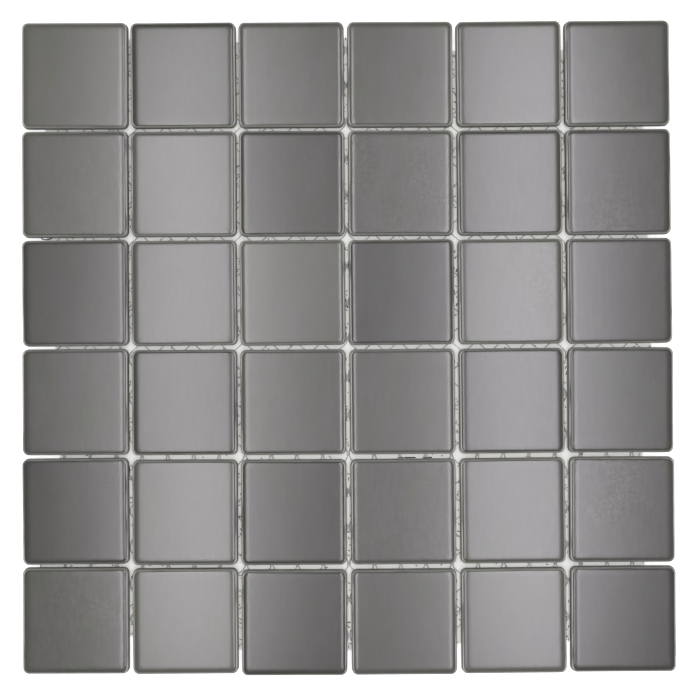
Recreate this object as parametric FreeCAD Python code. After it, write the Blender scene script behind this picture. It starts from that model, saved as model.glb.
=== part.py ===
"""A sheet of square porcelain mosaic tiles held together by a knitted net on their backs.

The sheet lies flat. Z = 0 is the underside of the net, +Z points up out of the glazed faces, +Y is the head of
the sheet (row 1) and +X its right-hand side (last column). The origin is under the middle of the whole sheet.
All sizes are in millimetres.
"""

import FreeCAD
import Part

import math
import os

# Sheet
tiles_across = 6
tiles_down = 6
column_joints = [1.35, 1.1, 1.5, 1.4, 1.3]
row_joints = [1.4, 1.5, 1.65, 1.75, 1.7]
spread_at_foot = 2.9
row_fall = 0.5
column_slack = [0.0, 1.05, 1.35, 1.25, 0.85, 0.35]
tile_twist = 0.22
# Tiles that slipped on the net, by (row, column) from zero: how far along X and Y
tile_slips = {(5, 1): (0.0, 0.6)}

# Tile
tile_width = 48.2
# How much wider than that the tiles of each column came out of the kiln
tile_growth = [0.35, 0.0, 0.05, 0.0, -0.1, 0.0]
tile_thickness = 5.5
corner_radius = 2.7
shoulder_radius = 1.7
lip_height = 1.6
wall_lean = 0.25
back_inset = 0.35

# Net
net_thickness = 0.5
least_web = 0.05
cell_width = 11.86
cell_height = 16.6
yarn_width = 0.8
knot_width = 1.4
knot_length = 2.0
knot_row_offset = 4.4
net_draw = 3.85
net_draw_band = 53.4
strip_half_width = 45.0

# Hand-cut edge of the net: how far inside the sheet's edge it runs at each joint
net_inset_left = [11.0, 11.3, 14.8, 16.5, 7.1]
net_inset_right = [12.8, 10.8, 9.6, 13.9, 13.3]
net_inset_head = [6.9, 8.5, 7.1, 13.1, 13.1]
net_inset_foot = [17.6, 11.0, 10.3, 13.3, 14.4]


def vector(x, y, z=0.0):
    """A point or direction."""
    return FreeCAD.Vector(x, y, z)


def pick(values, index):
    """The value at an index, or the last one when the list is shorter."""
    return values[min(index, len(values) - 1)]


def running_centres(count, width, joints):
    """Centres of a row of tiles from their width and the joints between them, starting at zero."""
    centres = [0.0]
    for index in range(1, count):
        centres.append(centres[-1] + width + pick(joints, index - 1))
    return centres


def width_of(column):
    """The width of the tiles of one column."""
    return tile_width + pick(tile_growth, column)


def twist_of(row, column):
    """How far a tile was turned when it was laid, in degrees: a few small steps either way."""
    step = (3 * row + 5 * column + row * column) % 7 - 3
    return tile_twist * step / 3.0


def laid_tiles():
    """The place of every tile as (row, column, x, y, twist), centred on the middle of the sheet."""
    middle = 0.5 * (running_centres(tiles_across, tile_width, column_joints)[-1])
    full_width = 2.0 * middle + tile_width
    tiles = []
    for row in range(tiles_down):
        down = row / max(tiles_down - 1, 1)
        spread = 1.0 + spread_at_foot / full_width * down
        for column in range(tiles_across):
            x = (running_centres(tiles_across, tile_width, column_joints)[column] - middle) * spread
            y = -running_centres(tiles_down, tile_width, row_joints)[row]
            y -= pick(column_slack, column) * down**2
            y -= row_fall * (column / max(tiles_across - 1, 1) - 0.5)
            slip_x, slip_y = tile_slips.get((row, column), (0.0, 0.0))
            tiles.append([row, column, x + slip_x, y + slip_y, twist_of(row, column)])
    low_x, high_x, low_y, high_y = reach(tiles)
    for tile in tiles:
        tile[2] -= 0.5 * (low_x + high_x)
        tile[3] -= 0.5 * (low_y + high_y)
    return tiles


def half_reach(column, twist):
    """Half the room that a turned tile takes along X or Y."""
    straight = 0.5 * width_of(column) - corner_radius
    turn = math.radians(abs(twist))
    return straight * (math.cos(turn) + math.sin(turn)) + corner_radius


def reach(tiles):
    """The lowest and highest X and Y of the laid tiles."""
    low_x = min(x - half_reach(column, twist) for row, column, x, y, twist in tiles)
    high_x = max(x + half_reach(column, twist) for row, column, x, y, twist in tiles)
    low_y = min(y - half_reach(column, twist) for row, column, x, y, twist in tiles)
    high_y = max(y + half_reach(column, twist) for row, column, x, y, twist in tiles)
    return low_x, high_x, low_y, high_y


def rounded_square(width, radius, z):
    """A closed wire: a square with round corners, centred on the Z axis."""
    edge = 0.5 * width
    flat = edge - radius
    edges = []
    for quarter in range(4):
        turn = FreeCAD.Rotation(vector(0, 0, 1), 90.0 * quarter)
        side_start = turn.multVec(vector(edge, -flat))
        side_end = turn.multVec(vector(edge, flat))
        corner_middle = turn.multVec(vector(flat + radius * math.sqrt(0.5), flat + radius * math.sqrt(0.5)))
        corner_end = turn.multVec(vector(flat, edge))
        edges.append(Part.makeLine(side_start, side_end))
        edges.append(Part.Arc(side_end, corner_middle, corner_end).toShape())
    wire = Part.Wire(edges)
    wire.translate(vector(0, 0, z))
    return wire


def tile(width):
    """One tile with its back at Z = 0: a wall that leans out from both faces to a lip, and a cushioned edge."""
    back = rounded_square(width - 2.0 * back_inset, corner_radius - back_inset, 0.0)
    lip = rounded_square(width, corner_radius, lip_height)
    lower = Part.makeLoft([back, lip], True, True)
    face = rounded_square(width - 2.0 * wall_lean, corner_radius - wall_lean, tile_thickness)
    upper = Part.makeLoft([lip, face], True, True)
    body = lower.fuse(upper).removeSplitter()
    shoulder = min(shoulder_radius, 0.9 * (corner_radius - wall_lean), 0.9 * (tile_thickness - lip_height))
    rim = [edge for edge in body.Edges if edge.BoundBox.ZMin > tile_thickness - 0.001]
    return body.makeFillet(shoulder, rim)


def drawn(y):
    """Where a row of the net lies after the net was drawn out across the middle of the sheet."""
    along = min(max((y + net_draw_band) / net_draw_band, 0.0), 1.0)
    return y + net_draw * (along - 1.0)


def net_outline(tiles):
    """The net's corners, anticlockwise from the left of the foot: one at each joint and near each of the sheet's."""
    low_x, high_x, low_y, high_y = reach(tiles)
    place = {(row, column): (x, y) for row, column, x, y, twist in tiles}
    last_row = tiles_down - 1
    last_column = tiles_across - 1
    foot = []
    head = []
    for joint in range(last_column):
        foot_x = 0.5 * (place[last_row, joint][0] + place[last_row, joint + 1][0])
        head_x = 0.5 * (place[0, joint][0] + place[0, joint + 1][0])
        foot.append(vector(foot_x, low_y + pick(net_inset_foot, joint)))
        head.append(vector(head_x, high_y - pick(net_inset_head, joint)))
    left = []
    right = []
    for joint in range(last_row):
        left_y = 0.5 * (place[joint, 0][1] + place[joint + 1, 0][1])
        right_y = 0.5 * (place[joint, last_column][1] + place[joint + 1, last_column][1])
        left.append(vector(low_x + pick(net_inset_left, joint), left_y))
        right.append(vector(high_x - pick(net_inset_right, joint), right_y))
    foot = [vector(left[-1].x, foot[0].y)] + foot + [vector(right[-1].x, foot[-1].y)]
    head = [vector(left[0].x, head[0].y)] + head + [vector(right[0].x, head[-1].y)]
    return foot + right[::-1] + head[::-1] + left


def cell(x, y):
    """The corners of one open cell of the net: two short knots at its sides and two yarns above and below."""
    half = 0.5 * cell_width
    rise = 0.5 * cell_height - knot_length
    slope = rise / half
    yarn_rise = 0.5 * yarn_width * math.hypot(half, rise) / half
    side = half - 0.5 * knot_width
    peak = 0.5 * cell_height - 0.5 * knot_length - yarn_rise
    shoulder = 0.5 * knot_length + slope * 0.5 * knot_width - yarn_rise
    corners = [(-side, -shoulder), (0.0, -peak), (side, -shoulder), (side, shoulder), (0.0, peak), (-side, shoulder)]
    return [vector(x + dx, drawn(y + dy)) for dx, dy in corners]


def cell_centres(low_x, high_x, low_y, high_y):
    """The middles of all cells that can reach into a box: two grids, each half a cell from the other."""
    centres = []
    for half_step in (0.0, 0.5):
        first_column = math.floor(low_x / cell_width) - 1
        last_column = math.ceil(high_x / cell_width) + 1
        first_row = math.floor(low_y / cell_height) - 1
        last_row = math.ceil(high_y / cell_height) + 1
        for column in range(first_column, last_column + 1):
            for row in range(first_row, last_row + 1):
                x = (column + 0.5 + half_step) * cell_width
                y = (row + half_step) * cell_height + knot_row_offset
                centres.append((x, y))
    return centres


def polygon(points):
    """A closed wire through the points."""
    return Part.makePolygon(points + [points[0]])


def depth(point, corners):
    """How deep a point lies inside an outline: below zero when it lies outside."""
    nearest = math.inf
    crossings = 0
    for start, end in zip(corners, corners[1:] + corners[:1]):
        along = end - start
        share = min(max((point - start).dot(along) / along.dot(along), 0.0), 1.0)
        nearest = min(nearest, (point - start - along * share).Length)
        if (start.y > point.y) != (end.y > point.y):
            if start.x + along.x * (point.y - start.y) / along.y > point.x:
                crossings += 1
    return nearest if crossings % 2 else -nearest


def fits(outline, ring):
    """Whether a cell lies inside a ring with at least the least web left all round it."""
    deep = all(depth(point, ring) >= least_web for point in outline)
    return deep and all(depth(corner, outline) <= -least_web for corner in ring)


def net_strip(corners, low_x, high_x):
    """One strip of the net between two X values, with its cells open and its yarns fused where they meet."""
    heights = [corner.y for corner in corners]
    depth_of_band = max(heights) - min(heights) + 2.0
    band = Part.makePlane(high_x - low_x, depth_of_band, vector(low_x, min(heights) - 1.0))
    sheet = Part.Face(polygon(corners)).common(band).Faces[0]
    ring = [vertex.Point for vertex in sheet.OuterWire.OrderedVertexes]
    if signed_area(ring) < 0.0:
        ring.reverse()
    whole = []
    cut = []
    for x, y in cell_centres(low_x, high_x, min(heights), max(heights)):
        outline = cell(x, y)
        if fits(outline, ring):
            whole.append(polygon(outline))
        elif Part.Face(polygon(outline)).common(sheet).Area > 0.0:
            cut.append(Part.Face(polygon(outline)))
    if cut:
        sheet = max(sheet.cut(cut).Faces, key=lambda face: face.Area)
    open_sheet = Part.makeFace([sheet.OuterWire] + whole, "Part::FaceMakerBullseye")
    return open_sheet.extrude(vector(0, 0, net_thickness))


def signed_area(points):
    """Twice the area of an outline, positive when it runs counter-clockwise."""
    return sum(a.x * b.y - b.x * a.y for a, b in zip(points, points[1:] + points[:1]))


def main():
    """Write every tile and every strip of the net."""
    os.makedirs("parts", exist_ok=True)
    tiles = laid_tiles()
    patterns = [tile(width_of(column)) for column in range(tiles_across)]
    for row, column, x, y, twist in tiles:
        laid = patterns[column].copy()
        laid.rotate(vector(0, 0, 0), vector(0, 0, 1), twist)
        laid.translate(vector(x, y, net_thickness))
        laid.exportStep(f"parts/tile_r{row + 1}_c{column + 1}.step")
    low_x, high_x, low_y, high_y = reach(tiles)
    corners = net_outline(tiles)
    left = min(corner.x for corner in corners) - 1.0
    right = max(corner.x for corner in corners) + 1.0
    strips = {
        "net_left": (left, -strip_half_width),
        "net_middle": (-strip_half_width, strip_half_width),
        "net_right": (strip_half_width, right),
    }
    for name, (strip_low, strip_high) in strips.items():
        net_strip(corners, strip_low, strip_high).exportStep(f"parts/{name}.step")
    print("sheet", round(high_x - low_x, 2), "by", round(high_y - low_y, 2))


main()
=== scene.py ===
"""A mosaic tile sheet: glazed porcelain tiles with cushioned edges on a knitted net.

The frame's solids give the place of every tile and of the net. This script replaces each tile with a glazed
one that has its soft shoulder, lip and unglazed back, and the net with a knitted one, and lights and frames
them. Sizes are in metres.
"""

import math
import random

import bpy
import numpy as np
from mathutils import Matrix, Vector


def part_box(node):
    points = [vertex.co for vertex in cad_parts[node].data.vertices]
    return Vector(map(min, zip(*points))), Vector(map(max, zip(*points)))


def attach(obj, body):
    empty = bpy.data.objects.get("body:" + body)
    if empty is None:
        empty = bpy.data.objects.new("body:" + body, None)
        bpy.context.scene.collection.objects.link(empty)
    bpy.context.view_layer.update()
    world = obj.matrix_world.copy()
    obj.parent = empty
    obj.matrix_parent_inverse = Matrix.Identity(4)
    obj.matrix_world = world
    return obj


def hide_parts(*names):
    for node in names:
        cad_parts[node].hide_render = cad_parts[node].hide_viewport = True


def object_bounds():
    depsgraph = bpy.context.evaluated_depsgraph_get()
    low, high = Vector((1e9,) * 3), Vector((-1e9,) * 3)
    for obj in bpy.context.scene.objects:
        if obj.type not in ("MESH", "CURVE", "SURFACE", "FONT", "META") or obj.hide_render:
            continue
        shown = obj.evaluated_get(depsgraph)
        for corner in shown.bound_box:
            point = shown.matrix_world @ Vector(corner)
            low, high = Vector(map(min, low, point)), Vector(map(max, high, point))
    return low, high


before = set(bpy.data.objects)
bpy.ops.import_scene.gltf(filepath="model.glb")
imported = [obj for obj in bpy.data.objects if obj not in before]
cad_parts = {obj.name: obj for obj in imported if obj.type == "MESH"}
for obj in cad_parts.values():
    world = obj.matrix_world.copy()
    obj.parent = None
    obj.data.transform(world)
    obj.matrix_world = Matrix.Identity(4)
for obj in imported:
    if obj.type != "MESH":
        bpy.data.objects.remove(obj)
CAD_LOW, CAD_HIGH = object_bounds()

bl_info = {
    "name": "Mosaic Tile Sheet",
    "version": (1, 0, 0),
    "blender": (4, 5, 0),
    "location": "View3D > Sidebar > Mosaic",
    "description": "Builds a sheet of glazed mosaic tiles on a knitted net around its solid model",
    "category": "Add Mesh",
}

MM = 0.001
MICROMETRE = 0.000001
ROWS = range(1, 7)
COLUMNS = range(1, 7)
NET_STRIPS = ("net_left", "net_middle", "net_right")
# Where a tile's three materials stand in its list
GLAZE, BODY, SIDE = range(3)


def tile_node(row, column):
    """The name of a tile's solid in the frame."""
    return f"tile_r{row}_c{column}"


# Lowest and highest corner of each tile's solid
TILE_BOX = {(row, column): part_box(tile_node(row, column)) for row in ROWS for column in COLUMNS}
TILE_BACK = TILE_BOX[1, 1][0].z
TILE_THICKNESS = TILE_BOX[1, 1][1].z - TILE_BACK
NET_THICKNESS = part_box("net_middle")[1].z


def middle_of(row, column):
    """The middle of a tile's solid."""
    low, high = TILE_BOX[row, column]
    return 0.5 * (low + high)


class TileSizes(bpy.types.PropertyGroup):
    """The form of one tile."""

    width: bpy.props.FloatProperty(
        name="Width", description="Widest outline of a tile, at its lip", default=48.2 * MM, unit="LENGTH"
    )
    growth: bpy.props.FloatVectorProperty(
        name="Growth",
        description="How much wider than that the tiles of each column are",
        default=[growth * MM for growth in (0.35, 0.0, 0.05, 0.0, -0.1, 0.0)],
        size=6,
    )
    corner_radius: bpy.props.FloatProperty(
        name="Corner radius", description="Round of the outline's corners", default=2.7 * MM, unit="LENGTH"
    )
    inner_corner_radius: bpy.props.FloatProperty(
        name="Inner corner radius",
        description="Round of the face's corners",
        default=1.3 * MM,
        unit="LENGTH",
    )
    shoulder_radius: bpy.props.FloatProperty(
        name="Shoulder radius",
        description="Round of the steep part of the upper edge",
        default=1.70 * MM,
        unit="LENGTH",
    )
    wall_lean: bpy.props.FloatProperty(
        name="Wall lean",
        description="How far the wall leans in from the lip to the face",
        default=0.25 * MM,
        unit="LENGTH",
    )
    shoulder_slope: bpy.props.FloatProperty(
        name="Shoulder slope",
        description="Slope where the steep round meets the soft one",
        default=math.radians(12.4),
        subtype="ANGLE",
    )
    soft_reach: bpy.props.FloatProperty(
        name="Soft reach",
        description="How far in from the outline the face is quite flat",
        default=5.25 * MM,
        unit="LENGTH",
    )
    soft_power: bpy.props.FloatProperty(
        name="Soft power", description="How fast the soft round grows towards the edge", default=3.2
    )
    lip_height: bpy.props.FloatProperty(
        name="Lip height",
        description="Height of the widest line above the back",
        default=1.6 * MM,
        unit="LENGTH",
    )
    side_reach: bpy.props.FloatProperty(
        name="Side reach",
        description="Inset up to which the side's dull glaze covers the edge",
        default=0.56 * MM,
        unit="LENGTH",
    )
    back_inset: bpy.props.FloatProperty(
        name="Back inset",
        description="How far the wall leans in from the lip to the back",
        default=0.35 * MM,
        unit="LENGTH",
    )
    back_bevel: bpy.props.FloatProperty(
        name="Back bevel", description="Bevel round the back", default=0.25 * MM, unit="LENGTH"
    )
    twist: bpy.props.FloatProperty(
        name="Twist",
        description="Largest turn of a tile as laid",
        default=math.radians(0.22),
        subtype="ANGLE",
    )
    warp: bpy.props.FloatProperty(
        name="Warp",
        description="How far the kiln lifted or sank a tile's corners",
        default=0.05 * MM,
        unit="LENGTH",
    )


class GlazeLook(bpy.types.PropertyGroup):
    """The glaze and the body under it."""

    colour: bpy.props.FloatVectorProperty(
        name="Glaze colour",
        description="Grey of the glaze",
        default=(0.0752, 0.0745, 0.0662),
        size=3,
        subtype="COLOR",
    )
    body: bpy.props.FloatVectorProperty(
        name="Body colour",
        description="Unglazed porcelain of the back",
        default=(0.42, 0.40, 0.365),
        size=3,
        subtype="COLOR",
    )
    side: bpy.props.FloatVectorProperty(
        name="Side colour",
        description="Dull glaze of the sides",
        default=(0.210, 0.216, 0.193),
        size=3,
        subtype="COLOR",
    )
    cool_tint: bpy.props.FloatVectorProperty(
        name="Cool tint",
        description="What the coolest patches do to the glaze",
        default=(1.03, 0.98, 1.08),
        size=3,
    )
    warm_tint: bpy.props.FloatVectorProperty(
        name="Warm tint",
        description="What the warmest patches do to the glaze",
        default=(0.965, 1.02, 0.90),
        size=3,
    )
    # Colour of a lighter line painted on the round of the edge as a highlight
    painted_edge_highlight: bpy.props.FloatVectorProperty(
        name="Edge highlight",
        description="Glaze where it runs thin on the edge",
        default=(0.42, 0.41, 0.39),
        size=3,
        subtype="COLOR",
    )
    # How strong the painted highlight line is on the left and right edges, which face the lamps
    side_edge_highlight: bpy.props.FloatProperty(
        name="Edge line",
        description="Strength of the thin lines on the left and right edges",
        default=0.9,
        subtype="FACTOR",
    )
    # How strong the painted highlight line is on the edges at head and foot, away from the lamps
    end_edge_highlight: bpy.props.FloatProperty(
        name="Foot line",
        description="Strength of the thin lines on the edges at head and foot",
        default=0.2,
        subtype="FACTOR",
    )
    roughness: bpy.props.FloatProperty(
        name="Roughness", description="Roughness of the satin glaze", default=0.235, subtype="FACTOR"
    )
    refraction: bpy.props.FloatProperty(
        name="Refraction", description="Refraction index of the glaze", default=1.6
    )
    edge_roughness: bpy.props.FloatProperty(
        name="Edge roughness",
        description="Roughness on the round of the edge",
        default=0.11,
        subtype="FACTOR",
    )
    peel: bpy.props.FloatProperty(
        name="Peel", description="Height of the glaze's drawn-out waves in micrometres", default=2.6
    )
    streak_tone: bpy.props.FloatProperty(
        name="Streak tone", description="Strength of the waves' tone", default=0.17
    )
    fleck_size: bpy.props.FloatProperty(
        name="Fleck size", description="Size of the flecks", default=1.25 * MM, unit="LENGTH"
    )
    fleck_tone: bpy.props.FloatProperty(
        name="Fleck tone", description="Strength of the flecks' tone", default=0.25
    )
    fleck_height: bpy.props.FloatProperty(
        name="Fleck height", description="Height of the flecks in micrometres", default=8.0
    )
    shine: bpy.props.FloatProperty(
        name="Shine", description="Weight of the glaze's clear top coat", default=0.15
    )
    fleck_shine: bpy.props.FloatProperty(
        name="Fleck shine", description="How much more or less the flecks shine", default=2.3
    )
    edge_start: bpy.props.FloatProperty(
        name="Edge start",
        description="Inset up to which the glaze is as smooth as on the edge",
        default=0.9 * MM,
        unit="LENGTH",
    )
    edge_end: bpy.props.FloatProperty(
        name="Edge end",
        description="Inset from which the glaze is as rough as on the face",
        default=2.0 * MM,
        unit="LENGTH",
    )


class NetSizes(bpy.types.PropertyGroup):
    """The knitted net."""

    cell_width: bpy.props.FloatProperty(
        name="Cell width", description="From knot to knot along a row", default=11.86 * MM, unit="LENGTH"
    )
    cell_height: bpy.props.FloatProperty(
        name="Cell height", description="From knot to knot along a column", default=16.6 * MM, unit="LENGTH"
    )
    row_offset: bpy.props.FloatProperty(
        name="Row offset", description="Where the first row of knots lies", default=4.4 * MM, unit="LENGTH"
    )
    draw: bpy.props.FloatProperty(
        name="Draw",
        description="How far the net was drawn out across the middle",
        default=3.85 * MM,
        unit="LENGTH",
    )
    draw_band: bpy.props.FloatProperty(
        name="Draw band",
        description="Depth of the stretch that was drawn out",
        default=53.4 * MM,
        unit="LENGTH",
    )
    left_insets: bpy.props.FloatVectorProperty(
        name="Left insets",
        description="From the sheet's edge to the net's cut edge at each joint, from head to foot",
        default=[inset * MM for inset in (11.0, 11.3, 14.8, 16.5, 7.1)],
        size=5,
    )
    right_insets: bpy.props.FloatVectorProperty(
        name="Right insets",
        description="The same at the right-hand edge",
        default=[inset * MM for inset in (12.8, 10.8, 9.6, 13.9, 13.3)],
        size=5,
    )
    head_insets: bpy.props.FloatVectorProperty(
        name="Head insets",
        description="The same at the head, from left to right",
        default=[inset * MM for inset in (6.9, 8.5, 7.1, 13.1, 13.1)],
        size=5,
    )
    foot_insets: bpy.props.FloatVectorProperty(
        name="Foot insets",
        description="The same at the foot, from left to right",
        default=[inset * MM for inset in (17.6, 11.0, 10.3, 13.3, 14.4)],
        size=5,
    )
    strand_radius: bpy.props.FloatProperty(
        name="Strand radius",
        description="Half the width of one of a yarn's two strands",
        default=0.2 * MM,
        unit="LENGTH",
    )
    yarn_gap: bpy.props.FloatProperty(
        name="Yarn gap", description="From yarn to yarn inside a knot", default=0.8 * MM, unit="LENGTH"
    )
    # The specks in the joints are partly the yarn's specks and partly painted shade
    speck_radius: bpy.props.FloatProperty(
        name="Fibre radius",
        description="Half the width of the fibres' ends",
        default=0.17 * MM,
        unit="LENGTH",
    )
    # Far more specks go into the joints between columns, to paint those joints darker as shade
    column_shade_specks: bpy.props.IntProperty(
        name="Column fibres",
        description="Ends of fibre beside each tile in the joints between columns",
        default=13,
    )
    row_shade_specks: bpy.props.IntProperty(
        name="Row fibres",
        description="Ends of fibre beside each tile in the joints between rows",
        default=2,
    )
    colour: bpy.props.FloatVectorProperty(
        name="Yarn colour",
        description="White of the yarn",
        default=(0.80, 0.80, 0.78),
        size=3,
        subtype="COLOR",
    )
    # Grey painted on the strands' sides as shade, in patches
    flank_shade: bpy.props.FloatVectorProperty(
        name="Yarn flank",
        description="Grey of the yarn's flanks, soaked with glue",
        default=(0.085, 0.088, 0.075),
        size=3,
        subtype="COLOR",
    )
    # Colour of the loose end, and of the dark slivers and specks laid in the joints as painted shadow and
    # shade
    dark_thread_and_shadow: bpy.props.FloatVectorProperty(
        name="Dark bits",
        description="Colour of the dark bits caught in the net",
        default=(0.006, 0.006, 0.006),
        size=3,
        subtype="COLOR",
    )


class StageLook(bpy.types.PropertyGroup):
    """Camera, lamps and ground."""

    camera_height: bpy.props.FloatProperty(
        name="Camera height", description="Camera above the glazed faces", default=0.584, unit="LENGTH"
    )
    camera_offset: bpy.props.FloatProperty(
        name="Camera offset",
        description="How far the camera is to the right of the middle",
        default=0.22 * MM,
        unit="LENGTH",
    )
    view_width: bpy.props.FloatProperty(
        name="View width",
        description="Width of the picture at the glazed faces",
        default=0.3170,
        unit="LENGTH",
    )
    camera_turn: bpy.props.FloatProperty(
        name="Camera turn",
        description="How far the sheet lies turned in the picture",
        default=math.radians(0.395),
        subtype="ANGLE",
    )
    lamp_height: bpy.props.FloatProperty(
        name="Lamp height", description="Height of the two long lamps", default=1.2, unit="LENGTH"
    )
    lamp_offset: bpy.props.FloatProperty(
        name="Lamp offset",
        description="How far each lamp is from the middle between them",
        default=0.234,
        unit="LENGTH",
    )
    lamp_right: bpy.props.FloatProperty(
        name="Lamp right",
        description="How far the pair of lamps is moved to the right",
        default=0.016,
        unit="LENGTH",
    )
    lamp_head: bpy.props.FloatProperty(
        name="Lamp head",
        description="How far the pair of lamps is moved towards the head row",
        default=0.01,
        unit="LENGTH",
    )
    lamp_width: bpy.props.FloatProperty(
        name="Lamp width", description="Width of each long lamp", default=0.14, unit="LENGTH"
    )
    lamp_length: bpy.props.FloatProperty(
        name="Lamp length", description="Length of each long lamp", default=1.05, unit="LENGTH"
    )
    lamp_power: bpy.props.FloatProperty(
        name="Lamp power", description="Power of the left lamp", default=4.6
    )
    left_colour: bpy.props.FloatVectorProperty(
        name="Left colour",
        description="Colour of the left lamp's light",
        default=(1.025, 0.988, 1.030),
        size=3,
    )
    right_colour: bpy.props.FloatVectorProperty(
        name="Right colour",
        description="Colour of the right lamp's light",
        default=(1.027, 0.985, 1.063),
        size=3,
    )
    right_share: bpy.props.FloatProperty(
        name="Right share", description="Power of the right lamp as a share of the left one", default=1.08
    )
    ground: bpy.props.FloatVectorProperty(
        name="Ground",
        description="White of the ground",
        default=(0.86, 0.86, 0.86),
        size=3,
        subtype="COLOR",
    )
    table: bpy.props.FloatVectorProperty(
        name="Table",
        description="Pale grey that shows through the net",
        default=(0.85, 0.87, 0.81),
        size=3,
        subtype="COLOR",
    )
    glow: bpy.props.FloatProperty(
        name="Glow", description="How much lighter the ground is seen", default=0.6
    )
    table_glow: bpy.props.FloatProperty(
        name="Table glow", description="How much lighter the table in the joints is seen", default=0.175
    )
    room_colour: bpy.props.FloatVectorProperty(
        name="Room colour",
        description="Colour of the room's light",
        default=(1.0, 1.0, 0.975),
        size=3,
        subtype="COLOR",
    )
    overhead: bpy.props.FloatProperty(name="Overhead", description="Light from the ceiling", default=0.12)
    side_light: bpy.props.FloatProperty(
        name="Side light", description="Light low down at left and right", default=2.4
    )
    front_light: bpy.props.FloatProperty(
        name="Front light", description="Light low down at head and foot", default=1.8
    )
    horizon: bpy.props.FloatProperty(
        name="Horizon", description="Share of the low light at the horizon", default=0.5
    )
    belt_low: bpy.props.FloatProperty(
        name="Belt low", description="Sine of the height up to which the low light is full", default=0.3
    )
    belt_high: bpy.props.FloatProperty(
        name="Belt high", description="Sine of the height at which the low light ends", default=0.66
    )


class Shade:
    """A value in a material. Arithmetic on it adds Math nodes."""

    def __init__(self, finish, socket):
        self.finish = finish
        self.socket = socket

    def maths(self, operation, first, second):
        """A Math node on two values or numbers."""
        return self.finish.add("ShaderNodeMath", {"operation": operation}, {0: first, 1: second})

    def __add__(self, other):
        return self.maths("ADD", self, other)

    def __radd__(self, other):
        return self.maths("ADD", other, self)

    def __sub__(self, other):
        return self.maths("SUBTRACT", self, other)

    def __rsub__(self, other):
        return self.maths("SUBTRACT", other, self)

    def __mul__(self, other):
        return self.maths("MULTIPLY", self, other)

    def __rmul__(self, other):
        return self.maths("MULTIPLY", other, self)

    def __truediv__(self, other):
        return self.maths("DIVIDE", self, other)

    def __rtruediv__(self, other):
        return self.maths("DIVIDE", other, self)


class Finish:
    """A material or world whose nodes are added one by one."""

    def __init__(self, owner):
        owner.use_nodes = True
        self.owner = owner
        self.tree = owner.node_tree
        self.tree.nodes.clear()

    def add(self, kind, settings, inputs, output=0):
        """Adds a node: its settings are set first, then the values or links of its sockets."""
        node = self.tree.nodes.new(kind)
        for name, value in settings.items():
            setattr(node, name, value)
        for name, value in inputs.items():
            if isinstance(value, Shade):
                self.tree.links.new(value.socket, node.inputs[name])
            else:
                node.inputs[name].default_value = value
        return Shade(self, node.outputs[output]) if len(node.outputs) else node

    def place(self):
        """The place in the frame, in metres."""
        return self.add("ShaderNodeTexCoord", {}, {}, "Object")

    def attribute(self, name):
        """A value that the mesh carries at each of its points."""
        return self.add("ShaderNodeAttribute", {"attribute_name": name}, {}, "Fac")

    def stretch(self, vector, factors):
        """A place drawn out or squeezed along each axis."""
        return self.add("ShaderNodeVectorMath", {"operation": "MULTIPLY"}, {0: vector, 1: factors})

    def shift(self, vector, offset):
        """A place moved by an offset in metres."""
        return self.add("ShaderNodeVectorMath", {"operation": "ADD"}, {0: vector, 1: offset})

    def tint(self, colour, factors):
        """A colour times another one."""
        return self.add("ShaderNodeVectorMath", {"operation": "MULTIPLY"}, {0: colour, 1: factors})

    def axis(self, vector, name):
        """One of a vector's three values."""
        return self.add("ShaderNodeSeparateXYZ", {}, {0: vector}, name)

    def noise(self, vector, size, detail=2.0, roughness=0.5):
        """Soft noise from 0 to 1 whose blotches are about that size in metres."""
        inputs = {"Vector": vector, "Scale": 1.0 / size, "Detail": detail, "Roughness": roughness}
        return self.add("ShaderNodeTexNoise", {}, inputs)

    def step(self, value, low, high, start=0.0, end=1.0):
        """A value eased from start at low to end at high."""
        inputs = {"Value": value, "From Min": low, "From Max": high, "To Min": start, "To Max": end}
        return self.add("ShaderNodeMapRange", {"interpolation_type": "SMOOTHSTEP"}, inputs)

    def mix(self, first, second, factor):
        """A colour between two colours."""
        return self.add("ShaderNodeMix", {"data_type": "RGBA"}, {0: factor, 6: first, 7: second}, 2)

    def bump(self, height, distance, strength=1.0):
        """A normal bent by a height."""
        inputs = {"Strength": strength, "Distance": distance, "Height": height}
        return self.add("ShaderNodeBump", {}, inputs)

    def surface(self, inputs, fixed=None):
        """Ends a material in one Principled shader."""
        sockets = dict(inputs)
        sockets.update(fixed or {})
        shader = self.add("ShaderNodeBsdfPrincipled", {}, sockets)
        self.add("ShaderNodeOutputMaterial", {}, {"Surface": shader})
        return self.owner


def opaque(colour):
    """A colour with full alpha."""
    return (colour[0], colour[1], colour[2], 1.0)


def scaled(colour, factor):
    """A colour made lighter or darker."""
    return (colour[0] * factor, colour[1] * factor, colour[2] * factor, 1.0)


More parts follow.
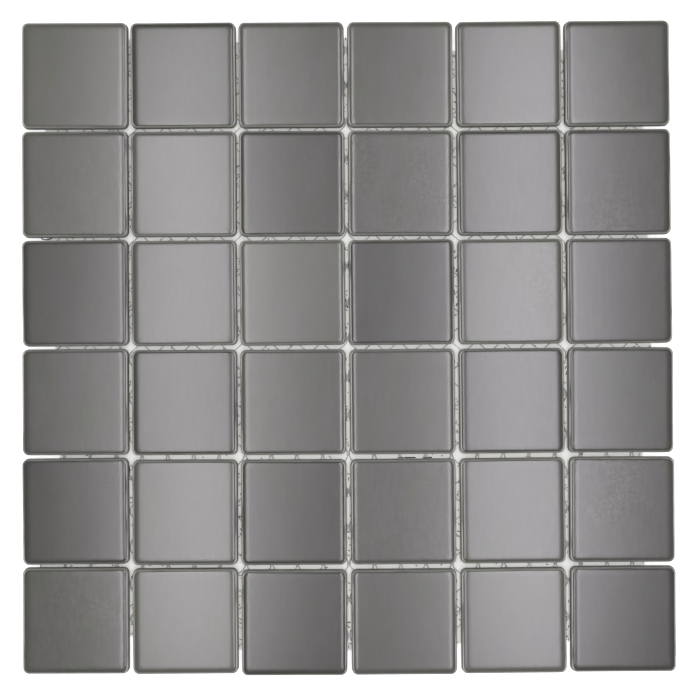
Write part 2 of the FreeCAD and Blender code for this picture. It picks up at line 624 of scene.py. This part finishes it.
def glaze_material(look):
    """Satin grey glaze with clouds, drawn-out waves, flecks, tints, pinholes and a lighter line painted on
    the edge as a highlight.
    """
    cloud_size, patch_size, tint_size, pull_size = 13 * MM, 15 * MM, 12 * MM, 17 * MM
    wave_size, ripple_size, pinhole_spacing = 1.9 * MM, 10 * MM, 11 * MM
    ripple_height, pinhole_depth = 11.0, 10.0
    finish = Finish(bpy.data.materials.new("satin grey glaze"))
    place = finish.place()
    drawn = finish.stretch(place, (1.0, 0.42, 1.0))
    tone = finish.attribute("tile_tone")
    hue = finish.attribute("tile_hue")
    grain = finish.attribute("tile_grain")
    inset = finish.attribute("edge_inset")
    side = finish.attribute("edge_side")
    cloud = finish.noise(drawn, cloud_size, 2.0)
    streak = finish.noise(finish.stretch(place, (1.0, 0.25, 1.0)), wave_size, 1.0) - 0.5
    fleck = finish.noise(place, look.fleck_size, 1.0) - 0.5
    fleck = grain * finish.step(finish.noise(place, patch_size, 1.0), 0.35, 0.6, 0.25, 1.0) * fleck
    light = 0.62 * tone + 0.2 * cloud + look.streak_tone * streak + look.fleck_tone * fleck + 0.09
    colour = finish.mix(scaled(look.colour, 0.6), scaled(look.colour, 1.4), finish.step(light, 0.0, 1.0))
    tinge = 0.27 * hue + 2.4 * (finish.noise(finish.shift(drawn, (3.1, 1.7, 0.0)), tint_size, 1.0) - 0.5)
    colour = finish.mix(colour, finish.tint(colour, look.cool_tint), finish.step(tinge, 0.0, 0.7))
    colour = finish.mix(colour, finish.tint(colour, look.warm_tint), finish.step(tinge, 0.0, -0.7))
    pull = finish.noise(place, pull_size, 1.0)
    # A lighter line painted on the round of the edge as a highlight, strongest on the left and right edges,
    # which face the lamps
    line = finish.step(inset, 0.45 * MM, 0.65 * MM) * finish.step(inset, 0.8 * MM, 1.1 * MM, 1.0, 0.0)
    line = line * finish.step(pull, 0.3, 0.55) * finish.step(side, 0.2, 0.8, look.end_edge_highlight, look.side_edge_highlight)
    colour = finish.mix(colour, opaque(look.painted_edge_highlight), line)
    pinhole_inputs = {"Vector": place, "Scale": 1.0 / pinhole_spacing, "Randomness": 1.0}
    pinhole_distance = finish.add("ShaderNodeTexVoronoi", {}, pinhole_inputs, "Distance")
    pinhole = finish.step(pinhole_distance, 0.012, 0.03, 1.0, 0.0)
    colour = finish.mix(colour, scaled(look.colour, 0.45), pinhole * 0.7)
    roughness = finish.step(inset, look.edge_start, look.edge_end, look.edge_roughness, look.roughness)
    roughness = roughness + 0.03 * (cloud - 0.5) + 0.2 * pinhole
    ripple = finish.noise(drawn, ripple_size, 1.0)
    height = ripple_height * ripple + look.peel * streak + look.fleck_height * fleck - pinhole_depth * pinhole
    normal = finish.bump(height, MICROMETRE)
    sockets = {"Base Color": colour, "Roughness": roughness, "Normal": normal}
    sockets["Coat Weight"] = look.shine + look.fleck_shine * fleck
    return finish.surface(sockets, {"IOR": look.refraction, "Coat Roughness": look.roughness})


def side_material(look):
    """Dull dark glaze on the wall and the steepest part of the edge, where the glaze has soaked in."""
    finish = Finish(bpy.data.materials.new("dull side glaze"))
    place = finish.place()
    cloud = finish.noise(place, 4 * MM, 2.0)
    grain = finish.noise(place, 0.4 * MM, 2.0)
    colour = finish.mix(scaled(look.side, 0.8), scaled(look.side, 1.2), cloud)
    roughness = 0.5 + 0.15 * grain
    normal = finish.bump(grain, 10 * MICROMETRE)
    return finish.surface({"Base Color": colour, "Roughness": roughness, "Normal": normal}, {"IOR": 1.1})


def body_material(look):
    """Unglazed porcelain of the back and of the wall under the lip: chalky, with a fine grain."""
    finish = Finish(bpy.data.materials.new("unglazed porcelain"))
    place = finish.place()
    grain = finish.noise(place, 0.35 * MM, 3.0, 0.7)
    cloud = finish.noise(place, 9 * MM, 2.0)
    colour = finish.mix(scaled(look.body, 0.82), scaled(look.body, 1.08), 0.5 * grain + 0.5 * cloud)
    normal = finish.bump(grain, 30 * MICROMETRE)
    roughness = 0.68 + 0.16 * grain
    return finish.surface({"Base Color": colour, "Roughness": roughness, "Normal": normal}, {"IOR": 1.45})


def yarn_material(sizes):
    """White yarn: a little mottled, with fine fibres, shade painted on its strands' sides, and dark slivers.
    """
    finish = Finish(bpy.data.materials.new("white yarn"))
    place = finish.place()
    mottle = finish.noise(place, 2.5 * MM, 2.0)
    fibre = finish.noise(place, 0.12 * MM, 2.0)
    colour = finish.mix(scaled(sizes.colour, 0.88), scaled(sizes.colour, 1.06), mottle)
    # The strands' sides are painted darker as shade, in patches; marks above 1.2 take the dark slivers'
    # colour
    flank_shade = finish.attribute("flank_shade")
    patchy_shade = finish.step(finish.noise(place, 5 * MM, 1.0), 0.38, 0.58, 0.3, 1.0)
    colour = finish.mix(colour, opaque(sizes.flank_shade), patchy_shade * finish.step(flank_shade, 0.3, 0.85))
    colour = finish.mix(colour, opaque(sizes.dark_thread_and_shadow), finish.step(flank_shade, 1.2, 1.8))
    normal = finish.bump(fibre, 20 * MICROMETRE)
    roughness = 0.5 + 0.2 * mottle
    return finish.surface({"Base Color": colour, "Roughness": roughness, "Normal": normal}, {"IOR": 1.5})


def end_in_paper(finish, colour, glow):
    """Ends a material in dull paper that is seen a little lighter, also in a mirror or through glass."""
    rays = ("Is Camera Ray", "Is Glossy Ray", "Is Transmission Ray")
    camera_ray, glossy_ray, clear_ray = (finish.add("ShaderNodeLightPath", {}, {}, ray) for ray in rays)
    seen = finish.add("ShaderNodeClamp", {}, {"Value": camera_ray + glossy_ray + clear_ray})
    paper = finish.add("ShaderNodeBsdfDiffuse", {}, {"Color": colour})
    light = finish.add("ShaderNodeEmission", {}, {"Color": (1, 1, 1, 1), "Strength": seen * glow})
    both = finish.add("ShaderNodeAddShader", {}, {0: paper, 1: light})
    finish.add("ShaderNodeOutputMaterial", {}, {"Surface": both})
    return finish.owner


def ground_material(look):
    """Plain white ground."""
    finish = Finish(bpy.data.materials.new("white ground"))
    return end_in_paper(finish, opaque(look.ground), look.glow)


def table_material(look):
    """The pale table that shows through the cells of the net."""
    finish = Finish(bpy.data.materials.new("pale table"))
    place = finish.place()
    mottle = finish.noise(place, 4 * MM, 2.0)
    colour = finish.mix(scaled(look.table, 0.94), scaled(look.table, 1.04), mottle)
    return end_in_paper(finish, colour, look.table_glow)


def new_object(name, mesh):
    """Puts a mesh in the scene."""
    piece = bpy.data.objects.new(name, mesh)
    bpy.context.scene.collection.objects.link(piece)
    return piece


def smooth(mesh):
    """Shades all faces smooth."""
    mesh.polygons.foreach_set("use_smooth", [True] * len(mesh.polygons))


def add_attribute(mesh, name, values):
    """Gives each point of a mesh its value."""
    attribute = mesh.attributes.new(name, "FLOAT", "POINT")
    attribute.data.foreach_set("value", values)


def rounded_ring(half, radius, side_steps, corner_steps):
    """Points round a square with round corners, anticlockwise from the right-hand side's lower end."""
    flat = half - radius
    points = []
    for quarter in range(4):
        turn = 0.5 * math.pi * quarter
        along, across = math.cos(turn), math.sin(turn)
        local = [(half, -flat + 2.0 * flat * step / side_steps) for step in range(side_steps)]
        for step in range(corner_steps):
            angle = 0.5 * math.pi * step / corner_steps
            local.append((flat + radius * math.cos(angle), flat + radius * math.sin(angle)))
        points += [(x * along - y * across, x * across + y * along) for x, y in local]
    return points


def tile_profile(sizes, thickness):
    """The tile's section as (inset, height above the back), from the back's edge to the face."""
    under_lip, below_lip = 0.04 * MM, 0.15 * MM
    round_steps, soft_steps = 10, 8
    slope = sizes.shoulder_slope
    rise = thickness - sizes.lip_height
    wall_slope = math.atan2(rise, sizes.wall_lean)
    round_inset = sizes.wall_lean + sizes.shoulder_radius * math.tan(0.5 * wall_slope)
    steep = round_inset - sizes.shoulder_radius * math.sin(slope)
    soft = sizes.soft_reach - steep
    soft_drop = math.tan(slope) * soft / (sizes.soft_power + 1.0)
    round_height = thickness - soft_drop - sizes.shoulder_radius * math.cos(slope)
    section = [
        (sizes.back_inset + sizes.back_bevel, 0.0),
        (sizes.back_inset + 0.3 * sizes.back_bevel, 0.3 * sizes.back_bevel),
        (sizes.back_inset, sizes.back_bevel),
        (under_lip, sizes.lip_height - below_lip),
        (0.0, sizes.lip_height),
    ]
    for step in range(round_steps + 1):
        angle = wall_slope + (slope - wall_slope) * step / round_steps
        inset = round_inset - sizes.shoulder_radius * math.sin(angle)
        section.append((inset, round_height + sizes.shoulder_radius * math.cos(angle)))
    for step in range(1, soft_steps + 1):
        share = step / soft_steps
        inset = steep + soft * share
        section.append((inset, thickness - soft_drop * (1.0 - share) ** (sizes.soft_power + 1.0)))
    return section


def insets_beyond(first, half, shares):
    """Insets of rings between a first one and the middle, at shares of the way."""
    return [first + (half - first) * share for share in shares]


def twist_of(row, column, most):
    """How far a tile was turned as laid, as in the solid model."""
    step = (3 * (row - 1) + 5 * (column - 1) + (row - 1) * (column - 1)) % 7 - 3
    return most * step / 3.0


class TileMaker:
    """Makes the glazed tiles."""

    side_steps = 12
    corner_steps = 6
    # Where rings lie on the way from the section's two ends to the middles of back and face
    back_shares = (0.85, 0.5, 0.2, 0.04)
    face_shares = (0.15, 0.35, 0.6, 0.85)

    def __init__(self, sizes):
        self.sizes = sizes
        self.section = tile_profile(sizes, TILE_THICKNESS)

    def ring(self, inset, width):
        """The ring of points at an inset from the outline."""
        sizes = self.sizes
        half = 0.5 * width - inset
        blend = min(inset / sizes.soft_reach, 1.0)
        radius = sizes.corner_radius + (sizes.inner_corner_radius - sizes.corner_radius) * blend
        radius = min(radius, 0.9 * half)
        return rounded_ring(half, radius, self.side_steps, self.corner_steps)

    def rings(self, width):
        """All rings from the middle of the back to the middle of the face, as (inset, height)."""
        half = 0.5 * width
        back_insets = insets_beyond(self.section[0][0], half, self.back_shares)
        face_insets = insets_beyond(self.sizes.soft_reach, half, self.face_shares)
        back = [(inset, 0.0) for inset in back_insets]
        face = [(inset, TILE_THICKNESS) for inset in face_insets]
        return back + self.section + face

    def points(self, rings, width, chance):
        """The points of all rings, warped by the kiln, then the middles of the back and of the face."""
        lip_height = self.sizes.lip_height
        lean_x = chance.gauss(0.0, 1.0) * self.sizes.warp
        lean_y = chance.gauss(0.0, 1.0) * self.sizes.warp
        cup = chance.gauss(0.0, 0.6) * self.sizes.warp
        saddle = chance.gauss(0.0, 0.6) * self.sizes.warp
        half = 0.5 * width
        points = []
        for inset, height in rings:
            lift = max(height - lip_height, 0.0) / (TILE_THICKNESS - lip_height)
            for x, y in self.ring(inset, width):
                u, v = x / half, y / half
                warp = lean_x * u + lean_y * v + cup * (0.6 - u * u - v * v) + saddle * u * v
                points.append((x, y, height + lift * warp))
        points.append((0.0, 0.0, 0.0))
        points.append((0.0, 0.0, TILE_THICKNESS + 0.6 * cup))
        squeeze = (TILE_THICKNESS - lip_height) / (max(z for x, y, z in points) - lip_height)
        return [(x, y, min(z, lip_height + (z - lip_height) * squeeze)) for x, y, z in points]

    def faces(self, ring_count, count):
        """The faces from ring to ring, each ring with count points, and those round the two middles."""
        faces = []
        for ring in range(ring_count - 1):
            for step in range(count):
                here = ring * count + step
                after = ring * count + (step + 1) % count
                faces.append((here, after, after + count, here + count))
        last = (ring_count - 1) * count
        back_middle = ring_count * count
        face_middle = back_middle + 1
        for step in range(count):
            faces.append((back_middle, (step + 1) % count, step))
            faces.append((face_middle, last + step, last + (step + 1) % count))
        return faces

    def placed(self, points, row, column):
        """The points turned and moved to where the tile's solid lies."""
        middle = middle_of(row, column)
        turn = twist_of(row, column, self.sizes.twist)
        along, across = math.cos(turn), math.sin(turn)
        placed = []
        for x, y, z in points:
            turned = (x * along - y * across, x * across + y * along)
            placed.append((middle.x + turned[0], middle.y + turned[1], TILE_BACK + z))
        return placed

    def dress(self, mesh, points, insets):
        """Gives each face its material: bare body under the lip, dull glaze on the side, glaze above."""
        for polygon in mesh.polygons:
            polygon.material_index = GLAZE
            if max(points[index][2] for index in polygon.vertices) <= self.sizes.lip_height * 0.99:
                polygon.material_index = BODY
            elif max(insets[index] for index in polygon.vertices) <= self.sizes.side_reach:
                polygon.material_index = SIDE

    def make(self, row, column, materials, chance):
        """One tile where its solid lies. Its materials are the glaze, the bare body and the side's glaze."""
        width = self.sizes.width + self.sizes.growth[column - 1]
        half = 0.5 * width
        rings = self.rings(width)
        count = len(self.ring(0.0, width))
        points = self.points(rings, width, chance)
        marks = {
            "tile_tone": [min(max(chance.gauss(0.5, 0.32), 0.0), 1.0)],
            "tile_hue": [chance.gauss(0.0, 0.35)],
            "tile_grain": [0.2 + 0.8 * chance.random() ** 4],
        }
        mesh = bpy.data.meshes.new(f"glazed_tile_r{row}_c{column}")
        mesh.from_pydata(self.placed(points, row, column), [], self.faces(len(rings), count))
        for material in materials:
            mesh.materials.append(material)
        insets = [inset for inset, height in rings for step in range(count)] + [half, half]
        self.dress(mesh, points, insets)
        smooth(mesh)
        for name, values in marks.items():
            add_attribute(mesh, name, values * len(points))
        add_attribute(mesh, "edge_inset", insets)
        # Which edge a point lies by, from 0 at head and foot to 1 at left and right: it sets the painted
        # highlight line's strength
        reach = 2.0 * self.sizes.corner_radius
        sides = [min(max(0.5 + (abs(x) - abs(y)) / reach, 0.0), 1.0) for x, y, z in points]
        add_attribute(mesh, "edge_side", sides)
        piece = new_object(mesh.name, mesh)
        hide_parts(tile_node(row, column))
        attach(piece, "root")
        return piece


# Dark slivers laid in the joints as painted shadow of deep gaps: place, length and turn, in millimetres and
# degrees
SHADOW_SLIVERS = [
    (24.4, -50.6, 2.0, 0.0),
    (28.4, -50.6, 5.0, 0.0),
    (36.4, -50.6, 4.2, 0.0),
    (0.9, 20.9, 1.8, 60.0),
    (0.1, 19.0, 1.4, 120.0),
    (50.5, 35.4, 1.6, 60.0),
    (50.7, 19.9, 2.2, 50.0),
    (-100.1, 60.5, 2.4, 85.0),
    (-100.8, -40.7, 6.0, 88.0),
    (-100.7, -55.4, 4.0, 92.0),
]
# Where a loose end hangs out of the net's left edge, in millimetres
LOOSE_END = (-140.5, 51.5)


class TubeMesh:
    """Gathers tubes in one mesh."""

    def __init__(self):
        self.points = []
        self.faces = []
        self.flank_shades = []

    def tube(self, path, wide, high, sides=6, darker=0.0):
        """A closed tube round a path, flattened to a width and a height."""
        path = np.asarray(path, float)
        ahead = np.gradient(path, axis=0)
        ahead /= np.linalg.norm(ahead, axis=1)[:, None]
        across = np.cross(ahead, (0.0, 0.0, 1.0))
        length = np.linalg.norm(across, axis=1)[:, None]
        across = np.where(length > 1e-6, across / np.maximum(length, 1e-6), (1.0, 0.0, 0.0))
        upward = np.cross(across, ahead)
        first = len(self.points)
        for index in range(len(path)):
            for side in range(sides):
                angle = 2.0 * math.pi * side / sides
                # Each point's mark for painted shade: full on the tube's two sides, none on top and below,
                # raised by how much darker the tube is
                self.flank_shades.append(abs(math.cos(angle)) + darker)
                offset = across[index] * wide * math.cos(angle) + upward[index] * high * math.sin(angle)
                self.points.append(tuple(path[index] + offset))
        for index in range(len(path) - 1):
            for side in range(sides):
                after = (side + 1) % sides
                a = first + index * sides
                self.faces.append((a + side, a + after, a + sides + after, a + sides + side))
        last = first + (len(path) - 1) * sides
        self.faces.append(tuple(first + side for side in reversed(range(sides))))
        self.faces.append(tuple(last + side for side in range(sides)))

    def mesh(self, name):
        """The gathered tubes as a mesh."""
        made = bpy.data.meshes.new(name)
        made.from_pydata(self.points, [], self.faces)
        add_attribute(made, "flank_shade", self.flank_shades)
        smooth(made)
        return made


class NetMaker:
    """Knits the net: zigzag yarns of two strands each, tied in pairs where they meet."""

    # How far the pattern is laid out from the middle, well past the cut edges
    yarn_reach = 0.152
    lines_out = 26
    rows_out = 12
    # The length of a yarn's pieces, and of one full twist of its two strands
    yarn_step = 0.77 * MM
    twist_length = 3.2 * MM
    # How much further apart the strands lie at the last two points of a cut end
    cut_end = (0.25 * MM, 0.08 * MM)
    # The wound thread of a knot
    knot_length = 2.4 * MM
    knot_turns = 2.5
    # A full turn, near enough for where a twist or a wander starts
    any_turn = 6.28

    def __init__(self, sizes):
        self.sizes = sizes
        self.corners = self.outline()
        self.chance = random.Random(11)
        self.middle = 0.5 * NET_THICKNESS
        self.strip_low, self.strip_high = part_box("net_middle")

    def outline(self):
        """The net's hand-cut outline, anticlockwise, with a corner at each joint, as in the solid model."""
        sizes = self.sizes
        foot = []
        head = []
        left = []
        right = []
        for joint in range(5):
            before, after = joint + 1, joint + 2
            foot_x = 0.5 * (middle_of(6, before).x + middle_of(6, after).x)
            head_x = 0.5 * (middle_of(1, before).x + middle_of(1, after).x)
            left_y = 0.5 * (middle_of(before, 1).y + middle_of(after, 1).y)
            right_y = 0.5 * (middle_of(before, 6).y + middle_of(after, 6).y)
            foot.append((foot_x, CAD_LOW.y + sizes.foot_insets[joint]))
            head.append((head_x, CAD_HIGH.y - sizes.head_insets[joint]))
            left.append((CAD_LOW.x + sizes.left_insets[joint], left_y))
            right.append((CAD_HIGH.x - sizes.right_insets[joint], right_y))
        foot = [(left[-1][0], foot[0][1])] + foot + [(right[-1][0], foot[-1][1])]
        head = [(left[0][0], head[0][1])] + head + [(right[0][0], head[-1][1])]
        return foot + right[::-1] + head[::-1] + left

    def inside(self, x, y):
        """Whether a point lies inside the net's outline."""
        crossings = 0
        for (ax, ay), (bx, by) in zip(self.corners, self.corners[1:] + self.corners[:1]):
            if (ay > y) != (by > y) and ax + (bx - ax) * (y - ay) / (by - ay) > x:
                crossings += 1
        return crossings % 2 == 1

    def drawn(self, y):
        """Where a row lies after the net was drawn out across the middle."""
        band = self.sizes.draw_band
        along = min(max((y + band) / band, 0.0), 1.0)
        return y + self.sizes.draw * (along - 1.0)

    def swing(self, y):
        """How far a zigzag yarn is to the side of its middle line, from -1 to 1."""
        angle = 2.0 * math.pi * (y - self.sizes.row_offset) / self.sizes.cell_height
        return (math.cos(angle) - 0.06 * math.cos(3.0 * angle)) / 0.94

    def wander(self, y, phase):
        """How far a yarn strays from its zigzag: in long waves and, a little more, in short ones."""
        long = 0.12 * math.sin(y / (9.0 * MM) + phase)
        short = 0.2 * math.sin(y / (2.7 * MM) + 2.3 * phase)
        return (long + short) * MM

    def yarn_runs(self, line):
        """The stretches of one zigzag yarn inside the outline, as lists of points."""
        sizes = self.sizes
        quarter = 0.25 * sizes.cell_width
        middle = (line + 0.5) * 2.0 * quarter
        side = -1.0 if line % 2 == 0 else 1.0
        reach = quarter - 0.5 * sizes.yarn_gap
        phase = self.chance.uniform(0.0, self.any_turn)
        runs = []
        run = []
        low, high = -self.yarn_reach, self.yarn_reach
        count = int((high - low) / self.yarn_step)
        for step in range(count + 1):
            y = low + (high - low) * step / count
            x = middle + side * reach * self.swing(y) + self.wander(y, phase)
            place = (x, self.drawn(y))
            if self.inside(*place):
                run.append(place)
            elif run:
                runs.append(run)
                run = []
        if run:
            runs.append(run)
        return [run for run in runs if len(run) > 3]

    def add_yarn(self, tubes, run):
        """Two strands twisted round each other along a run, a little apart at its cut ends."""
        turn = self.chance.uniform(0.0, self.any_turn)
        twist = 2.0 * math.pi / self.twist_length
        radius = self.sizes.strand_radius
        for strand in range(2):
            path = []
            length = 0.0
            for index, (x, y) in enumerate(run):
                if index:
                    length += math.dist(run[index - 1], run[index])
                to_end = min(index, len(run) - 1 - index)
                apart = 0.8 * radius + (self.cut_end[to_end] if to_end < len(self.cut_end) else 0.0)
                angle = turn + twist * length + math.pi * strand
                path.append((x + apart * math.cos(angle), y, self.middle + 0.55 * radius * math.sin(angle)))
            tubes.tube(path, radius, 0.62 * radius)

    def add_knot(self, tubes, x, y):
        """A thread wound round both yarns of a knot."""
        steps = 26
        reach, lift = 0.82 * MM, 0.15 * MM
        start = self.chance.uniform(0.0, self.any_turn)
        path = []
        for step in range(steps + 1):
            share = step / steps
            angle = start + 2.0 * math.pi * self.knot_turns * share
            across = reach * math.cos(angle)
            ahead = self.knot_length * (share - 0.5)
            path.append((x + across, y + ahead, self.middle + lift * math.sin(angle)))
        tubes.tube(path, wide=0.11 * MM, high=0.09 * MM, sides=4)

    def add_dark_sliver(self, tubes, x, y, length, turn, thick=0.28 * MM, darker=2.0):
        """A short sliver of thread laid in the net, painted grey to black to stand for shade in a joint."""
        steps = 3
        along = (math.cos(turn), math.sin(turn))
        path = []
        for step in range(steps + 1):
            reach = length * (step / steps - 0.5)
            bend = self.chance.uniform(-0.05, 0.05) * MM
            path.append((x + reach * along[0] + bend, y + reach * along[1] + bend, self.middle))
        tubes.tube(path, wide=thick, high=0.1 * MM, sides=4, darker=darker)

    def add_shade_specks(self, gathered, middle, along, across, count):
        """Short grey and dark specks in a joint, strewn along it and across it from its middle: partly the
        yarn's specks, partly painted shade.
        """
        strewn = self.chance.uniform
        for step in range(count):
            x = middle.x + strewn(-along[0], along[0]) + strewn(-across[0], across[0])
            y = middle.y + strewn(-along[1], along[1]) + strewn(-across[1], across[1])
            length = strewn(0.5, 1.7) * MM
            turn = strewn(0.0, math.pi)
            darker = strewn(0.2, 1.6)
            if self.inside(x, y):
                self.add_dark_sliver(gathered[self.strip_of(x)], x, y, length, turn, self.sizes.speck_radius, darker)

    def add_loose_end(self, tubes, x, y):
        """A loose end that hangs out of the net's left edge in a shallow bow."""
        steps = 14
        span, rise, depth = 5.1 * MM, 0.3 * MM, 0.9 * MM
        path = []
        for step in range(steps + 1):
            share = step / steps
            sag = depth * math.sin(math.pi * share) ** 0.6
            path.append((x + span * share, y + rise * share - sag, self.middle))
        tubes.tube(path, wide=0.26 * MM, high=0.1 * MM, darker=1.5)

    def strip_of(self, x):
        """The strip that a place belongs to."""
        margin = 0.1 * MM
        if x < self.strip_low.x - margin:
            return "net_left"
        if x > self.strip_high.x - margin:
            return "net_right"
        return "net_middle"

    def knit(self, gathered):
        """All yarns, then a knot wherever a whole one fits inside the outline."""
        half = 0.5 * self.sizes.cell_width
        for line in range(-self.lines_out, self.lines_out):
            for run in self.yarn_runs(line):
                self.add_yarn(gathered[self.strip_of((line + 0.5) * half)], run)
        end = 0.5 * self.knot_length
        for column in range(-self.lines_out, self.lines_out + 1):
            for row in range(-self.rows_out, self.rows_out + 1):
                y = (row + 0.5 * (column % 2)) * self.sizes.cell_height + self.sizes.row_offset
                x, y = column * half, self.drawn(y)
                if self.inside(x, y - end) and self.inside(x, y + end):
                    self.add_knot(gathered[self.strip_of(x)], x, y)

    def strew(self, gathered):
        """What hangs in the net: the dark slivers of painted shadow, the loose end, and the grey specks
        beside each tile, partly painted shade.
        """
        for x, y, length, turn in SHADOW_SLIVERS:
            x, y = x * MM, y * MM
            self.add_dark_sliver(gathered[self.strip_of(x)], x, y, length * MM, math.radians(turn))
        loose_x, loose_y = LOOSE_END
        self.add_loose_end(gathered["net_left"], loose_x * MM, loose_y * MM)
        long, short = 21.0 * MM, 0.8 * MM
        for joint in range(1, 6):
            for tile in range(1, 7):
                upright = 0.5 * (middle_of(tile, joint) + middle_of(tile, joint + 1))
                level = 0.5 * (middle_of(joint, tile) + middle_of(joint + 1, tile))
                self.add_shade_specks(gathered, upright, (0.0, long), (short, 0.0), self.sizes.column_shade_specks)
                self.add_shade_specks(gathered, level, (long, 0.0), (0.0, short), self.sizes.row_shade_specks)

    def make(self, material):
        """The whole net, one piece for each strip of the solid model."""
        gathered = {node: TubeMesh() for node in NET_STRIPS}
        self.knit(gathered)
        self.strew(gathered)
        for node, tubes in gathered.items():
            name = node.replace("net", "knitted_net")
            mesh = tubes.mesh(name)
            mesh.materials.append(material)
            piece = new_object(name, mesh)
            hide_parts(node)
            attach(piece, "root")


def make_camera(look):
    """A camera straight above the sheet, with the photograph's framing."""
    sensor = 36.0
    top = CAD_HIGH.z
    middle = 0.5 * (CAD_LOW + CAD_HIGH)
    camera = bpy.data.objects.new("camera", bpy.data.cameras.new("camera"))
    camera.data.sensor_width = sensor
    camera.data.lens = sensor * look.camera_height / look.view_width
    camera.location = (middle.x + look.camera_offset, middle.y, top + look.camera_height)
    camera.rotation_euler = (0.0, 0.0, -look.camera_turn)
    bpy.context.scene.collection.objects.link(camera)
    bpy.context.scene.camera = camera


def make_lamp(name, x, power, colour, look):
    """One long soft lamp that runs along the sheet's columns."""
    lamp = bpy.data.lights.new(name, "AREA")
    lamp.shape = "RECTANGLE"
    lamp.size = look.lamp_width
    lamp.size_y = look.lamp_length
    lamp.energy = power
    lamp.color = colour
    holder = bpy.data.objects.new(name, lamp)
    holder.location = (x + look.lamp_right, look.lamp_head, look.lamp_height)
    holder.rotation_euler = (0.0, math.atan2(x, look.lamp_height), 0.0)
    bpy.context.scene.collection.objects.link(holder)


def make_world(look):
    """A dim room: bright low down at left and right, less so at the horizon, and dark overhead."""
    world = bpy.data.worlds.new("studio room")
    bpy.context.scene.world = world
    finish = Finish(world)
    direction = finish.add("ShaderNodeTexCoord", {}, {}, "Generated")
    height = finish.axis(direction, "Z")
    across = finish.axis(direction, "X")
    side = across * across / (1.001 - height * height)
    low_light = finish.step(side, 0.3, 0.8, look.front_light, look.side_light)
    belt = finish.step(height, look.belt_low, look.belt_high, 1.0, 0.0)
    horizon = finish.step(height, 0.0, look.belt_low, look.horizon, 1.0)
    strength = look.overhead + (low_light * horizon - look.overhead) * belt
    light = {"Color": opaque(look.room_colour), "Strength": strength}
    background = finish.add("ShaderNodeBackground", {}, light)
    finish.add("ShaderNodeOutputWorld", {}, {"Surface": background})


def make_ground(look):
    """A wide plain ground under the sheet."""
    reach = 6.0
    mesh = bpy.data.meshes.new("ground")
    corners = [(-reach, -reach, 0.0), (reach, -reach, 0.0), (reach, reach, 0.0), (-reach, reach, 0.0)]
    mesh.from_pydata(corners, [], [(0, 1, 2, 3)])
    mesh.materials.append(ground_material(look))
    new_object("ground", mesh)


def make_table(look, net):
    """The part of the table that shows through the net, up to the net's cut edge."""
    above_ground = 0.01 * MM
    mesh = bpy.data.meshes.new("table")
    points = [(x, y, above_ground) for x, y in net.corners]
    mesh.from_pydata(points, [], [tuple(range(len(points)))])
    mesh.materials.append(table_material(look))
    new_object("table", mesh)


class BuildStage(bpy.types.Operator):
    """Make the camera, the ground, the lamps and the room"""

    bl_idname = "mosaic.build_stage"
    bl_label = "Build Stage"

    def execute(self, context):
        look = context.scene.mosaic_stage
        make_camera(look)
        make_ground(look)
        make_lamp("left lamp", -look.lamp_offset, look.lamp_power, look.left_colour, look)
        make_lamp("right lamp", look.lamp_offset, look.lamp_power * look.right_share, look.right_colour, look)
        make_world(look)
        context.scene.view_settings.view_transform = "Standard"
        return {"FINISHED"}


class BuildTiles(bpy.types.Operator):
    """Make all the glazed tiles"""

    bl_idname = "mosaic.build_tiles"
    bl_label = "Build Tiles"

    def execute(self, context):
        maker = TileMaker(context.scene.mosaic_tile)
        look = context.scene.mosaic_glaze
        materials = [glaze_material(look), body_material(look), side_material(look)]
        # The tiles' chance differences in tone, tint, flecks and warp start from their name
        chance = random.Random("glazed tiles")
        for row in ROWS:
            for column in COLUMNS:
                maker.make(row, column, materials, chance)
        return {"FINISHED"}


class BuildNet(bpy.types.Operator):
    """Knit the net on the backs of the tiles"""

    bl_idname = "mosaic.build_net"
    bl_label = "Build Net"

    def execute(self, context):
        sizes = context.scene.mosaic_net
        net = NetMaker(sizes)
        net.make(yarn_material(sizes))
        make_table(context.scene.mosaic_stage, net)
        return {"FINISHED"}


class MosaicPanel(bpy.types.Panel):
    """Lists the steps that build the sheet."""

    bl_idname = "VIEW3D_PT_mosaic"
    bl_label = "Mosaic Tile Sheet"
    bl_space_type = "VIEW_3D"
    bl_region_type = "UI"
    bl_category = "Mosaic"

    def draw(self, context):
        for operator in OPERATORS:
            self.layout.operator(operator.bl_idname)


SETTINGS = {
    "mosaic_tile": TileSizes,
    "mosaic_glaze": GlazeLook,
    "mosaic_net": NetSizes,
    "mosaic_stage": StageLook,
}
OPERATORS = (BuildStage, BuildTiles, BuildNet)


def register():
    """Adds the settings, the operators and the panel."""
    for name, group in SETTINGS.items():
        bpy.utils.register_class(group)
        setattr(bpy.types.Scene, name, bpy.props.PointerProperty(type=group))
    for operator in OPERATORS:
        bpy.utils.register_class(operator)
    bpy.utils.register_class(MosaicPanel)


def unregister():
    """Takes them away again."""
    bpy.utils.unregister_class(MosaicPanel)
    for operator in reversed(OPERATORS):
        bpy.utils.unregister_class(operator)
    for name, group in SETTINGS.items():
        delattr(bpy.types.Scene, name)
        bpy.utils.unregister_class(group)


def main():
    """Builds the scene."""
    register()
    bpy.ops.mosaic.build_stage()
    bpy.ops.mosaic.build_tiles()
    bpy.ops.mosaic.build_net()


if __name__ == "__main__":
    main()
